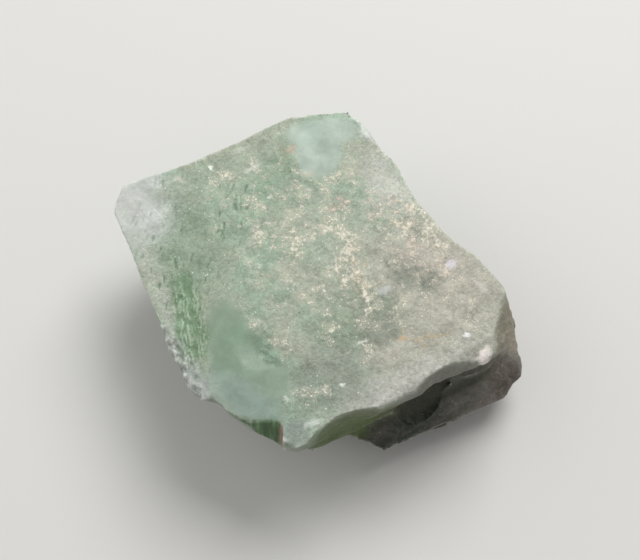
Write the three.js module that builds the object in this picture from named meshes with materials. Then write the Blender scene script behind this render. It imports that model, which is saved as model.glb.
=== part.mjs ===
// A hand specimen of heulandite: one cleaved crystal slab on a small flat foot, with a lower shelf left
// along its front right side. The slab's broad face is the mineral's perfect cleavage, so the thinner
// layers that broke away from the sides end in ledges parallel to it.
// Millimetres, +Z up. The origin is at the middle of the specimen's footprint, on the surface it rests on.
import * as THREE from "three";
import { mergeVertices } from "three/addons/utils/BufferGeometryUtils.js";

// Driving dimensions.
const FACE_HEIGHT = 21.4; // the cleavage face above the resting surface
const RIM_HEIGHT = 20.6; // where the walls of the slab are measured
const FACE_TILT = 1.6; // degrees the cleavage face leans down ...
const FACE_TILT_TOWARDS = 205; // ... in this direction, anticlockwise from +X
const SHELF_HEIGHT = 4.5; // where the walls of the shelf are measured
const EDGE_WEAR = 0.38; // softness of the worn edges between facets
const CHIP_WEAR = 0.55; // softness of the edges of hollows
const SEAM_WEAR = 0.7; // softness of the crease where the shelf joins the slab
const FLAT_WITHIN = 0.01; // vertices this near the resting surface are put on it
const AXIS = new THREE.Vector3(-0.37, 2.31, 0); // foot of the upright line that facets are placed from

// The crust of vertices that is laid on the specimen: a box turned to follow its four main sides. Its
// vertices are drawn outwards from the core, a smaller box well inside the crystal.
const CRUST_SIZE = { length: 42.4, depth: 45.7, height: 22.6 };
const CRUST_CELLS = { length: 32, depth: 37, height: 17 };
const CRUST_TURN = 31.5; // degrees about +Z
const CORE_SIZE = { length: 16, depth: 20, height: 9 };
const CORE_CENTRE = new THREE.Vector3(-2.8, -2.6, 9.3);

// Walls of the slab: the way each faces, how far its foot is undercut from vertical (both in degrees), and
// how far it stands from the axis at RIM_HEIGHT.
const SLAB_WALLS = [
  { name: "left corner", azimuth: 158, lean: 10, out: 30.9 },
  { name: "back left cleavage", azimuth: 115, lean: 12, out: 22.4 },
  { name: "back tip", azimuth: 95.5, lean: 6, out: 22.5 },
  { name: "back tip flank", azimuth: 50, lean: 10, out: 22.1 },
  { name: "back right break", azimuth: 38.5, lean: 13, out: 17.5 },
  { name: "right shoulder", azimuth: 11, lean: 8, out: 25.9 },
  { name: "right end", azimuth: 2, lean: 4, out: 28.0 },
  { name: "right front corner", azimuth: -33, lean: 6, out: 29.2 },
  { name: "front break", azimuth: -64.5, lean: 3, out: 23.6 },
  { name: "front knob", azimuth: -98, lean: 10, out: 28.3 },
  { name: "left front break", azimuth: 235.6, lean: 22, out: 26.5 },
  { name: "left front corner", azimuth: 222, lean: 24, out: 26.6 },
  { name: "left front shoulder", azimuth: 208, lean: 23, out: 25.1 },
  { name: "left cleavage", azimuth: 203, lean: 21, out: 25.0 },
];

// Belly facets, which run down from the walls to the foot: out is measured on the resting surface. Those
// of SLAB_BELLY stop at the slab, where the shelf reaches past it.
const BELLY = [
  { name: "belly left", azimuth: 196, lean: 50, out: 10.5 },
  { name: "belly back left", azimuth: 132, lean: 55, out: 8.5 },
  { name: "belly back", azimuth: 88, lean: 47, out: 9.5 },
  { name: "belly front left", azimuth: 245, lean: 48, out: 13.5 },
];
const SLAB_BELLY = [
  { name: "belly back right", azimuth: 34, lean: 45, out: 10.0 },
  { name: "belly right", azimuth: -8, lean: 54, out: 14.0 },
  { name: "belly front", azimuth: -75, lean: 55, out: 12.0 },
];

// Bevels that lean back from the rim: out is measured at RIM_HEIGHT.
const BEVELS = [
  { name: "right end bevel", azimuth: -18, lean: -44, out: 28.0 },
  { name: "right front bevel", azimuth: -62, lean: -66, out: 24.4 },
  { name: "knob bevel", azimuth: 242, lean: -32, out: 26.0 },
  { name: "back tip bevel", azimuth: 62, lean: -45, out: 23.6 },
];

// Facets of the shelf, the lower layer that reaches past the slab: out is measured at SHELF_HEIGHT.
const SHELF_FACETS = [
  { name: "shelf right shoulder", azimuth: 15, lean: 6, out: 28.7 },
  { name: "shelf right end", azimuth: -1, lean: 5, out: 30.3 },
  { name: "shelf right corner", azimuth: -30, lean: 8, out: 32.9 },
  { name: "shelf front right", azimuth: -66, lean: 6, out: 27.2 },
  { name: "shelf front", azimuth: -71, lean: 8, out: 27.1 },
  { name: "shelf left end", azimuth: 246, lean: 10, out: 19.2 },
  { name: "shelf back", azimuth: 116, lean: 0, out: -4 },
  { name: "shelf top", azimuth: -64, lean: -62, out: 30.8 },
  { name: "shelf crest", azimuth: 10, lean: -56, out: 32.4 },
  { name: "shelf belly front", azimuth: -54, lean: 73, out: 33.2 },
  { name: "shelf belly right", azimuth: -2, lean: 68, out: 32.6 },
  { name: "shelf belly back right", azimuth: 36, lean: 58, out: 17.6 },
];

// Hollows that chips and flakes left: the centre of an ellipsoid, measured from the axis, its half axes,
// and how far it is turned about +Z in degrees.
const HOLLOWS = [
  { name: "undercut above shelf", at: [17.0, -20.9, 13.2], half: [12.0, 4.0, 3.4], turn: 25 },
  { name: "shelf valley", at: [14.8, -19.6, 10.9], half: [5.4, 3.4, 3.8], turn: 52 },
  { name: "right break sweep", at: [27.2, 14.7, 13], half: [21, 14.3, 40], turn: -50 },
  { name: "back tip notch", at: [10.3, 19.5, 19], half: [2.3, 2.3, 8], turn: 0 },
  { name: "front rim bay", at: [19.5, -21.6, 20], half: [6.6, 5.8, 9], turn: 22 },
  { name: "front wall scoop", at: [4.8, -26.9, 22], half: [7.3, 4.2, 17], turn: 24 },
  { name: "left front nick", at: [-15.5, -23.2, 18], half: [2.4, 2.4, 9], turn: 0 },
  { name: "back left sweep", at: [-24.6, 38.0, 18], half: [53, 23.2, 40], turn: 25 },
  { name: "upper window", at: [-0.6, 16.6, 34.6], half: [13, 10, 13.2], turn: -20 },
  { name: "lower window", at: [-8.6, -13.5, 33.3], half: [16, 13, 12.6], turn: 35 },
  { name: "left wall flake", at: [-25.5, -10.5, 8], half: [9, 6, 5], turn: 112 },
  { name: "back wall flake", at: [-8, 21.5, 9], half: [10, 5, 4.6], turn: 27 },
  { name: "right wall flake", at: [20, 7.5, 8], half: [8, 4.4, 4.4], turn: -50 },
];

// A splinter that is missing beside the knob: what lies outside its floor and on the left of its crack.
const SPLINTER_FLOOR = { azimuth: -93.4, lean: -54, out: 24.7 }; // out is measured at RIM_HEIGHT
const SPLINTER_CRACK = { azimuth: 0, lean: 0, out: -5.4 };

// Ledges on the walls, where thinner layers broke away: height above the resting surface and depth.
const LEDGES = [
  { height: 16.4, depth: 0.7, drift: 0.9 },
  { height: 11.6, depth: -0.6, drift: 2.1 },
  { height: 7.4, depth: 0.6, drift: 4.0 },
];
const LEDGE_SHARPNESS = 0.5; // half height of the step at a ledge
const LEDGE_WANDER = { wide: 0.9, narrow: 0.5 }; // how far a ledge rises and falls on its way round

// The slow swell of the broken surfaces: length, height and phase of each wave. On the cleavage face it is
// half as high.
const SWELL = [
  { length: 24, height: 0.36, phase: 0.4 },
  { length: 13, height: 0.22, phase: 2.2 },
  { length: 7.5, height: 0.13, phase: 4.1 },
];

const radians = THREE.MathUtils.degToRad;

// The plane of a facet, whose positive side is outside the specimen.
function facetPlane({ azimuth, lean, out }, height) {
  const a = radians(azimuth);
  const l = radians(lean);
  const normal = new THREE.Vector3(Math.cos(a) * Math.cos(l), Math.sin(a) * Math.cos(l), -Math.sin(l));
  const point = new THREE.Vector3(out * Math.cos(a), out * Math.sin(a), height).add(AXIS);
  return new THREE.Plane().setFromNormalAndCoplanarPoint(normal, point);
}

const facePlane = facetPlane({ azimuth: FACE_TILT_TOWARDS, lean: FACE_TILT - 90, out: 0 }, FACE_HEIGHT);
const slabPlanes = [
  facePlane,
  ...SLAB_WALLS.map((wall) => facetPlane(wall, RIM_HEIGHT)),
  ...BEVELS.map((bevel) => facetPlane(bevel, RIM_HEIGHT)),
  ...BELLY.concat(SLAB_BELLY).map((facet) => facetPlane(facet, 0)),
];
const shelfPlanes = [
  ...SHELF_FACETS.map((facet) => facetPlane(facet, SHELF_HEIGHT)),
  ...BELLY.map((facet) => facetPlane(facet, 0)),
];

const splinterPlanes = [facetPlane(SPLINTER_FLOOR, RIM_HEIGHT), facetPlane(SPLINTER_CRACK, RIM_HEIGHT)];

// The largest of the values, eased where several are close, so that edges come out worn and not sharp.
function softMax(values, softness) {
  const largest = Math.max(...values);
  const sum = values.reduce((total, value) => total + Math.exp((value - largest) / softness), 0);
  return largest + softness * Math.log(sum);
}

// Roughly how far outside a hollow's ellipsoid a point lies, negative inside it.
function outsideHollow(point, { at, half, turn }) {
  const p = point.clone().sub(AXIS).sub(new THREE.Vector3(...at));
  p.applyAxisAngle(new THREE.Vector3(0, 0, 1), -radians(turn));
  const scaled = new THREE.Vector3(p.x / half[0], p.y / half[1], p.z / half[2]);
  return (scaled.length() - 1) * Math.min(...half);
}

// A rounded lumpy wave of one length, between about -1 and 1.
function lumps(point, length, phase) {
  const k = (2 * Math.PI) / length;
  const [x, y, z] = [k * point.x + phase, k * point.y + 2 * phase, k * point.z + 3 * phase];
  return (
    0.6 * Math.sin(x + 1.4 * Math.sin(0.7 * y + 0.4 * z)) * Math.cos(y + 1.4 * Math.sin(0.6 * z - 0.5 * x)) +
    0.4 * Math.sin(z + 1.2 * Math.sin(0.8 * x - 0.6 * y))
  );
}

// How much the ledges move a wall in, at a point.
function ledgeDepth(point) {
  const turn = Math.atan2(point.y, point.x);
  return LEDGES.reduce((total, { height, depth, drift }) => {
    const wide = LEDGE_WANDER.wide * Math.sin(2 * turn + drift);
    const narrow = LEDGE_WANDER.narrow * Math.sin(5 * turn + 2 * drift);
    const level = height + wide + narrow;
    return total + (depth / 2) * (1 + Math.tanh((level - point.z) / LEDGE_SHARPNESS));
  }, 0);
}

// Positive outside the specimen, negative inside it, and near its surface close to a distance.
function outside(point) {
  const face = facePlane.distanceToPoint(point);
  const slab = softMax(slabPlanes.map((plane) => plane.distanceToPoint(point)), EDGE_WEAR);
  const shelf = softMax(shelfPlanes.map((plane) => plane.distanceToPoint(point)), EDGE_WEAR);
  const joined = -softMax([-slab, -shelf], SEAM_WEAR);
  const onWall = THREE.MathUtils.smoothstep(-face, 1, 4);
  const swell = SWELL.reduce(
    (sum, { length, height, phase }) => sum + height * lumps(point, length, phase),
    0,
  );
  const broken = joined + swell * (0.5 + 0.5 * onWall) + ledgeDepth(point) * onWall;
  const [floor, crack] = splinterPlanes.map((plane) => plane.distanceToPoint(point));
  const splinter = Math.min(floor, -crack);
  const hollows = HOLLOWS.map((hollow) => -outsideHollow(point, hollow));
  const chipped = softMax([broken, splinter, ...hollows], CHIP_WEAR);
  return Math.max(chipped, -point.z);
}

// Where a line from inside the specimen, through a point of the crust, comes out.
function surfacePoint(inside, direction) {
  const step = 0.5;
  let near = 0;
  while (outside(inside.clone().addScaledVector(direction, near + step)) < 0) near += step;
  let far = near + step;
  for (let i = 0; i < 18; i++) {
    const middle = (near + far) / 2;
    if (outside(inside.clone().addScaledVector(direction, middle)) < 0) near = middle;
    else far = middle;
  }
  return inside.clone().addScaledVector(direction, near);
}

// Splits each four-cornered cell of the crust along the diagonal that lies closer to the specimen's surface.
function flipDiagonals(crust) {
  const index = crust.getIndex();
  const position = crust.getAttribute("position");
  const corner = (i) => new THREE.Vector3().fromBufferAttribute(position, i);
  const stray = (i, j) => Math.abs(outside(corner(i).add(corner(j)).divideScalar(2)));
  for (let i = 0; i < index.count; i += 6) {
    const [a, b, d] = [index.getX(i), index.getX(i + 1), index.getX(i + 2)];
    const c = index.getX(i + 4);
    if (stray(a, c) < stray(b, d)) index.array.set([a, b, c, a, c, d], i);
  }
}

// The specimen's surface: the crust box, each of whose vertices is drawn out from the core to the surface.
function crystalGeometry() {
  const { length, depth, height } = CRUST_SIZE;
  const cells = CRUST_CELLS;
  const box = new THREE.BoxGeometry(length, depth, height, cells.length, cells.depth, cells.height);
  box.deleteAttribute("normal");
  box.deleteAttribute("uv");
  const crust = mergeVertices(box);
  const halfCore = new THREE.Vector3(CORE_SIZE.length, CORE_SIZE.depth, CORE_SIZE.height).divideScalar(2);
  const position = crust.getAttribute("position");
  const up = new THREE.Vector3(0, 0, 1);
  for (let i = 0; i < position.count; i++) {
    const vertex = new THREE.Vector3().fromBufferAttribute(position, i);
    const inside = vertex.clone().clamp(halfCore.clone().negate(), halfCore);
    const direction = vertex.clone().sub(inside).normalize().applyAxisAngle(up, radians(CRUST_TURN));
    inside.applyAxisAngle(up, radians(CRUST_TURN)).add(CORE_CENTRE).add(AXIS);
    const { x, y, z } = surfacePoint(inside, direction);
    position.setXYZ(i, x, y, Math.abs(z) < FLAT_WITHIN ? 0 : z);
  }
  flipDiagonals(crust);
  crust.computeVertexNormals();
  return crust;
}

const stone = new THREE.MeshStandardMaterial({ color: 0xa3b39c, roughness: 0.55, metalness: 0 });
const crystal = new THREE.Mesh(crystalGeometry(), stone);
crystal.name = "heulandite_crystal";

const specimen = new THREE.Group();
specimen.add(crystal);

export default specimen;
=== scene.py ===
"""A hand specimen of green heulandite: one cleaved crystal slab with a lower shelf left along one side.

The stone is cut out of a block facet by facet, then worn, stepped, striated and grained. It is shaped at
bench scale, where one unit is a millimetre, and shrunk to metres once its form is finished.
"""

import logging
import math
from dataclasses import dataclass, field
from enum import Enum
from functools import reduce

import bpy
import numpy as np
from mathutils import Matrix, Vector, noise

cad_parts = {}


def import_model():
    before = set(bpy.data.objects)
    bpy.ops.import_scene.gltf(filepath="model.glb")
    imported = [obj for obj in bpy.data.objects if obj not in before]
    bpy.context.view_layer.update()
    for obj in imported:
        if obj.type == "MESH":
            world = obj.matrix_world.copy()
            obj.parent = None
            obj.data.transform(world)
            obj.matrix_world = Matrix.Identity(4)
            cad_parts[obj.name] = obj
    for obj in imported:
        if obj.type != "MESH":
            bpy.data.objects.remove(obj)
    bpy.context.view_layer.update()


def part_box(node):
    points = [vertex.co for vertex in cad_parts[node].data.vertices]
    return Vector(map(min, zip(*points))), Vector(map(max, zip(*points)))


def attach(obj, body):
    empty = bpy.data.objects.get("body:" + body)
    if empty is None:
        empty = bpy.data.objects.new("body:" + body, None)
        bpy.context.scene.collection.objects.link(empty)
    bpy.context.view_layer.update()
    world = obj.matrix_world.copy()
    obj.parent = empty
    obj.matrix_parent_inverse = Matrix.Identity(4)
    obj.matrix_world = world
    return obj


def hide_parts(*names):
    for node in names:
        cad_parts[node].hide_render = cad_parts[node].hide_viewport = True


LOG = logging.getLogger("heulandite")
NODE = "heulandite_crystal"
MM = 0.001  # one bench unit in metres
AXIS = Vector((-0.37, 2.31, 0.0))  # foot of the upright line that facets and hollows are placed from
Triple = tuple[float, float, float]
Colour = tuple[float, float, float, float]
Thing = bpy.types.Object
Node = bpy.types.Node
Socket = bpy.types.NodeSocket


# ---------------------------------------------------------------- small helpers


def select_only(thing: Thing) -> None:
    """Leaves one object selected and active, in object mode.

    Args:
        thing: the object to work on next.
    """
    if bpy.context.object and bpy.context.object.mode != "OBJECT":
        bpy.ops.object.mode_set(mode="OBJECT")
    bpy.ops.object.select_all(action="DESELECT")
    thing.select_set(True)
    bpy.context.view_layer.objects.active = thing


def apply_modifier(thing: Thing, kind: str, **settings: object) -> None:
    """Adds a modifier to an object and applies it at once.

    Args:
        thing: the object that gets the modifier.
        kind: Blender's name for the modifier type.
        **settings: the modifier's own settings.
    """
    select_only(thing)
    modifier = thing.modifiers.new(kind.title(), kind)
    for name, value in settings.items():
        setattr(modifier, name, value)
    bpy.ops.object.modifier_apply(modifier=modifier.name)


def combine(thing: Thing, other: Thing, how: str) -> None:
    """Joins another solid to an object or cuts it out, and removes it.

    Args:
        thing: the closed object that stays.
        other: the closed object that is used up.
        how: the boolean's operation.
    """
    apply_modifier(thing, "BOOLEAN", operation=how, object=other, solver="EXACT")
    bpy.data.objects.remove(other)


def smoothstep(low: float, high: float, value: np.ndarray) -> np.ndarray:
    """Eases from 0 at low to 1 at high.

    Args:
        low: where the ease starts.
        high: where it ends, which may be below low to turn it round.
        value: the numbers to ease.

    Returns:
        Numbers from 0 to 1, one for each value.
    """
    t = np.clip((value - low) / (high - low), 0.0, 1.0)
    return t * t * (3.0 - 2.0 * t)


def read(thing: Thing, what: str) -> np.ndarray:
    """Returns a vector for each of a mesh's vertices, one to a row.

    Args:
        thing: the object whose mesh is read.
        what: "co" for positions or "normal" for normals.
    """
    flat = np.empty(len(thing.data.vertices) * 3)
    thing.data.vertices.foreach_get(what, flat)
    return flat.reshape(-1, 3)


def write_points(thing: Thing, points: np.ndarray) -> None:
    """Moves a mesh's vertices to new positions, one to a row."""
    thing.data.vertices.foreach_set("co", points.ravel())
    thing.data.update()


def blurred(thing: Thing, values: np.ndarray, passes: int) -> np.ndarray:
    """Averages a value over each vertex's neighbours.

    Args:
        thing: the object whose mesh carries the values.
        values: a number for every vertex.
        passes: how often it is averaged.

    Returns:
        The softened values.
    """
    ends = np.empty(len(thing.data.edges) * 2, dtype=np.int64)
    thing.data.edges.foreach_get("vertices", ends)
    one, other = ends[0::2], ends[1::2]
    count = len(values)
    share = 1.0 / np.maximum(np.bincount(one, minlength=count) + np.bincount(other, minlength=count), 1)
    for _ in range(passes):
        total = np.bincount(one, values[other], count) + np.bincount(other, values[one], count)
        values = 0.4 * values + 0.6 * total * share
    return values


def proudness(thing: Thing, passes: int) -> np.ndarray:
    """Measures how far each vertex stands out of its smoothed surroundings.

    Args:
        thing: the object whose mesh is measured.
        passes: how often the surroundings are averaged, which sets how wide they are.

    Returns:
        Distances in the mesh's own units, positive on an edge and negative in a groove.
    """
    points = read(thing, "co")
    calm = np.stack([blurred(thing, points[:, axis], passes) for axis in range(3)], axis=1)
    return np.einsum("ij,ij->i", points - calm, read(thing, "normal"))


def held(values: np.ndarray, limit: float, ease: float) -> np.ndarray:
    """Presses the values that come within `ease` of a limit back below it, and returns them all."""
    over = values - (limit - ease)
    return np.where(over > 0, limit - ease + ease * np.tanh(over / ease), values)


# ---------------------------------------------------------------- the facets


@dataclass(frozen=True)
class Facet:
    """A flat cleavage, break or bevel.

    The azimuth is the way that it faces, the lean how far its foot is undercut from upright, both in
    degrees. It stands `out` millimetres from the axis at the height `level`.
    """

    name: str
    azimuth: float
    lean: float
    out: float
    level: float

    def normal(self) -> Vector:
        """Returns the direction that points out of the stone."""
        a = math.radians(self.azimuth)
        lean = math.radians(self.lean)
        return Vector((math.cos(a) * math.cos(lean), math.sin(a) * math.cos(lean), -math.sin(lean)))

    def point(self) -> Vector:
        """Returns a point of the facet, in millimetres."""
        a = math.radians(self.azimuth)
        return AXIS + Vector((self.out * math.cos(a), self.out * math.sin(a), self.level))

    def distance(self, points: np.ndarray) -> np.ndarray:
        """Returns how far outside the facet each point lies, negative inside."""
        return (points - np.array(self.point())) @ np.array(self.normal())


@dataclass(frozen=True)
class Hollow:
    """A chip or flake scar: an ellipsoid, placed from the axis, with its half axes and its turn about +Z."""

    name: str
    at: Triple
    half: Triple
    turn: float


RIM_LEVEL = 20.6
FACE_LEVELS = (14.5, 17.0)  # the heights between which walls give way to the broad face
SHELF_LEVEL = 4.5
CLEAVAGE_FACE = Facet("cleavage face", 205, 1.6 - 90, 0.0, 21.4)
"""The broad face on top, which leans down a little towards the left front."""


def facets(level: float, *rows: tuple[str, float, float, float]) -> tuple[Facet, ...]:
    """Makes facets that are all measured at one height.

    Args:
        level: that height in millimetres.
        *rows: a name, azimuth, lean and distance out for each facet.

    Returns:
        The facets, in the order given.
    """
    return tuple(Facet(*row, level) for row in rows)


@dataclass
class Block:
    """A block that is sawn to a set of facets, one bisection for each."""

    name: str
    cuts: tuple[Facet, ...]
    size: float = 90.0

    def build(self) -> Thing:
        """Saws the block out of a cube.

        Returns:
            The closed, flat-sided block, standing on the resting surface.
        """
        bpy.ops.object.select_all(action="DESELECT")
        bpy.ops.mesh.primitive_cube_add(size=self.size, location=(0, 0, self.size / 2))
        block = bpy.context.object
        block.name = self.name
        bpy.ops.object.transform_apply(location=True, rotation=False, scale=False)
        bpy.ops.object.mode_set(mode="EDIT")
        for cut in self.cuts:
            bpy.ops.mesh.select_all(action="SELECT")
            bpy.ops.mesh.bisect(plane_co=cut.point(), plane_no=cut.normal(), use_fill=True, clear_outer=True)
        bpy.ops.mesh.select_all(action="SELECT")
        bpy.ops.mesh.normals_make_consistent(inside=False)
        bpy.ops.object.mode_set(mode="OBJECT")
        return block


@dataclass
class CrystalForm:
    """The stone's flat-sided form: the slab, the shelf that reaches past it, and the hollows in both."""

    belly: tuple[Facet, ...] = facets(
        0.0,
        ("belly left", 196, 50, 10.5),
        ("belly back left", 132, 55, 8.5),
        ("belly back", 88, 47, 9.5),
        ("belly front left", 245, 48, 13.5),
    )
    slab_belly: tuple[Facet, ...] = facets(
        0.0,
        ("belly back right", 34, 45, 10.0),
        ("belly right", -8, 54, 14.0),
        ("belly front", -75, 55, 12.0),
    )
    slab_walls: tuple[Facet, ...] = facets(
        RIM_LEVEL,
        ("left corner", 158, 10, 30.9),
        ("back left cleavage", 115, 12, 22.4),
        ("back tip", 95.5, 6, 22.5),
        ("back tip flank", 50, 10, 22.1),
        ("back right break", 38.5, 13, 17.5),
        ("right shoulder", 11, 8, 25.9),
        ("right end", 2, 4, 28.0),
        ("right front corner", -33, 6, 29.2),
        ("front break", -64.5, 3, 23.6),
        ("front knob", -98, 10, 28.3),
        ("left front break", 235.6, 22, 26.5),
        ("left front corner", 222, 24, 26.6),
        ("left front shoulder", 208, 23, 25.1),
        ("left cleavage", 203, 21, 25.0),
        ("right end bevel", -18, -44, 28.0),
        ("right front bevel", -62, -66, 24.4),
        ("knob bevel", 242, -32, 26.0),
        ("back tip bevel", 62, -45, 23.6),
    )
    shelf_facets: tuple[Facet, ...] = facets(
        SHELF_LEVEL,
        ("shelf right shoulder", 15, 6, 28.7),
        ("shelf right end", -1, 5, 30.3),
        ("shelf right corner", -30, 8, 32.9),
        ("shelf front right", -66, 6, 27.2),
        ("shelf front", -71, 8, 27.1),
        ("shelf left end", 246, 10, 19.2),
        ("shelf back", 116, 0, -4.0),
        ("shelf top", -64, -62, 30.8),
        ("shelf crest", 10, -56, 32.4),
        ("shelf belly front", -54, 73, 33.2),
        ("shelf belly right", -2, 68, 32.6),
        ("shelf belly back right", 36, 58, 17.6),
    )
    hollows: tuple[Hollow, ...] = (
        Hollow("undercut above shelf", (17.0, -20.9, 13.2), (12.0, 4.0, 3.4), 25),
        Hollow("shelf valley", (14.8, -19.6, 10.9), (5.4, 3.4, 3.8), 52),
        Hollow("right break sweep", (27.2, 14.7, 13), (21, 14.3, 40), -50),
        Hollow("back tip notch", (10.3, 19.5, 19), (2.3, 2.3, 8), 0),
        Hollow("front rim bay", (19.5, -21.6, 20), (6.6, 5.8, 9), 22),
        Hollow("front wall scoop", (4.8, -26.9, 22), (7.3, 4.2, 17), 24),
        Hollow("left front nick", (-15.5, -23.2, 18), (2.4, 2.4, 9), 0),
        Hollow("back left sweep", (-24.6, 38.0, 18), (53, 23.2, 40), 25),
        Hollow("upper window", (-0.6, 16.6, 34.6), (13, 10, 13.2), -20),
        Hollow("lower window", (-8.6, -13.5, 33.3), (16, 13, 12.6), 35),
        Hollow("left wall flake", (-25.5, -10.5, 8), (9, 6, 5), 112),
        Hollow("back wall flake", (-8, 21.5, 9), (10, 5, 4.6), 27),
        Hollow("right wall flake", (20, 7.5, 8), (8, 4.4, 4.4), -50),
    )
    splinter: tuple[Facet, ...] = facets(
        RIM_LEVEL,
        ("splinter floor", 86.6, 54, -24.7),
        ("splinter crack", 0, 0, -5.4),
    )
    voxel: float = 0.21
    wear_passes: int = 16

    def past_walls(self, points: np.ndarray) -> np.ndarray:
        """Returns how far each point lies outside the slab's walls, as only the shelf does."""
        return np.maximum.reduce([wall.distance(points) for wall in self.slab_walls])

    def carve(self, stone: Thing, hollow: Hollow) -> None:
        """Takes one hollow out of the stone.

        Args:
            stone: the closed stone.
            hollow: what is taken out of it.
        """
        bpy.ops.object.select_all(action="DESELECT")
        bpy.ops.mesh.primitive_ico_sphere_add(
            subdivisions=6,
            location=AXIS + Vector(hollow.at),
            rotation=(0, 0, math.radians(hollow.turn)),
            scale=hollow.half,
        )
        combine(stone, bpy.context.object, "DIFFERENCE")

    def build(self) -> Thing:
        """Builds the worn stone, still without its relief.

        Returns:
            The stone as one closed skin of small even faces, in millimetres.
        """
        slab_cuts = (CLEAVAGE_FACE, *self.slab_walls, *self.belly, *self.slab_belly)
        stone = Block("heulandite_stone", slab_cuts).build()
        combine(stone, Block("shelf", (*self.shelf_facets, *self.belly)).build(), "UNION")
        combine(stone, Block("splinter", self.splinter).build(), "DIFFERENCE")
        for hollow in self.hollows:
            self.carve(stone, hollow)
        apply_modifier(stone, "REMESH", mode="VOXEL", voxel_size=self.voxel)
        apply_modifier(stone, "SMOOTH", factor=0.5, iterations=self.wear_passes)
        return stone


# ---------------------------------------------------------------- regions of the stone


@dataclass(frozen=True)
class Patch:
    """A soft-edged region of the stone: an ellipsoid about a point, in millimetres, turned about +Z."""

    name: str
    at: Triple
    half: Triple
    turn: float
    soft: float

    def weight(self, points: np.ndarray) -> np.ndarray:
        """Returns how much each point belongs to the patch, from 0 to 1.

        Args:
            points: positions in millimetres, one to a row.
        """
        a = math.radians(self.turn)
        away = points - np.array(self.at)
        along = (away[:, 0] * math.cos(a) + away[:, 1] * math.sin(a)) / self.half[0]
        across = (away[:, 1] * math.cos(a) - away[:, 0] * math.sin(a)) / self.half[1]
        reach = np.sqrt(along**2 + across**2 + (away[:, 2] / self.half[2]) ** 2)
        return smoothstep(1 + self.soft, 1 - self.soft, reach)


UPPER_WINDOW = Patch("upper window", (-0.6, 18.7, 21.2), (3.4, 4.2, 7.0), 0, 0.2)
WINDOW_HEAD = Patch("head of the upper window", (-0.2, 21.7, 20.6), (5.4, 2.4, 6.0), 4, 0.25)
LOWER_WINDOW = Patch("lower window", (-10.2, -14.2, 20.8), (6.6, 4.7, 6.0), -52, 0.14)
WINDOW_TOP = Patch("top of the lower window", (-13.3, -9.4, 20.8), (5.6, 3.1, 6.0), -82, 0.35)
WINDOW_FOOT = Patch("foot of the lower window", (-10.6, -18.9, 20.0), (6.8, 2.8, 5.0), -36, 0.45)
WINDOWS = (UPPER_WINDOW, WINDOW_HEAD, LOWER_WINDOW, WINDOW_TOP, WINDOW_FOOT)
STRIATIONS = Patch("striated strip", (-18.7, -6.8, 20.6), (6.8, 2.3, 5.0), -80, 0.3)
RIM_STRIP = Patch("left front rim", (-18.9, -15.2, 19.6), (9.0, 2.2, 5.0), -60, 0.3)
KNOB = Patch("knob", (-3.6, -23.4, 17.6), (2.4, 2.9, 6.0), 0, 0.25)
BACK_TIP = Patch("back tip", (4.8, 23.2, 19.0), (4.2, 2.6, 5.0), 0, 0.4)
BACK_LOBE = Patch("back tip lobe", (6.6, 22.4, 19.3), (1.5, 3.0, 3.0), 22, 0.4)
CHIP = Patch("pale chip", (22.6, -12.0, 20.4), (1.5, 0.9, 1.6), 70, 0.35)
PITTED = Patch("pitted patch", (-6.4, -11.2, 21.0), (2.6, 2.2, 3.0), 0, 0.4)
LEFT_CORNER = Patch("left corner", (-27.6, 9.2, 18.0), (4.6, 6.6, 9.0), -20, 0.35)
BARE_RIM = Patch("unworn rim", (20.0, 4.6, 19.5), (13.0, 3.4, 5.0), -38, 0.4)
OLIVE_END = Patch("olive right end", (26.6, -7.2, 18.0), (2.8, 6.4, 4.6), -16, 0.3)
DASH_CLUSTERS = (
    (Patch("left third", (-18.4, 5.5, 21.0), (9.5, 12.5, 6.0), 12, 0.3), 0.3),
    (Patch("dashes by the corner", (-21.6, 2.4, 21.0), (3.4, 1.6, 4.0), -78, 0.5), 1.0),
    (Patch("dashes in the middle", (-14.2, 8.4, 21.0), (3.2, 1.6, 4.0), -80, 0.5), 1.0),
    (Patch("dashes on the right", (-12.0, 10.8, 21.0), (3.4, 1.6, 4.0), -84, 0.5), 1.0),
    (Patch("dashes at the back", (-18.9, 14.4, 21.0), (1.8, 0.9, 4.0), -70, 0.5), 1.0),
    (Patch("dashes on the left", (-23.2, -2.2, 20.6), (3.6, 1.6, 4.0), -75, 0.5), 1.0),
    (Patch("dashes over the strip", (-16.8, 1.2, 21.0), (3.0, 1.8, 4.0), -80, 0.5), 1.0),
)
WORN_END = Patch("worn right end", (26.8, -4.6, 18.6), (3.8, 9.0, 5.0), -12, 0.4)
FRONT_WALL = Patch("front wall", (10.0, -19.5, 13.0), (21.0, 6.0, 12.0), 24, 0.3)
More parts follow.
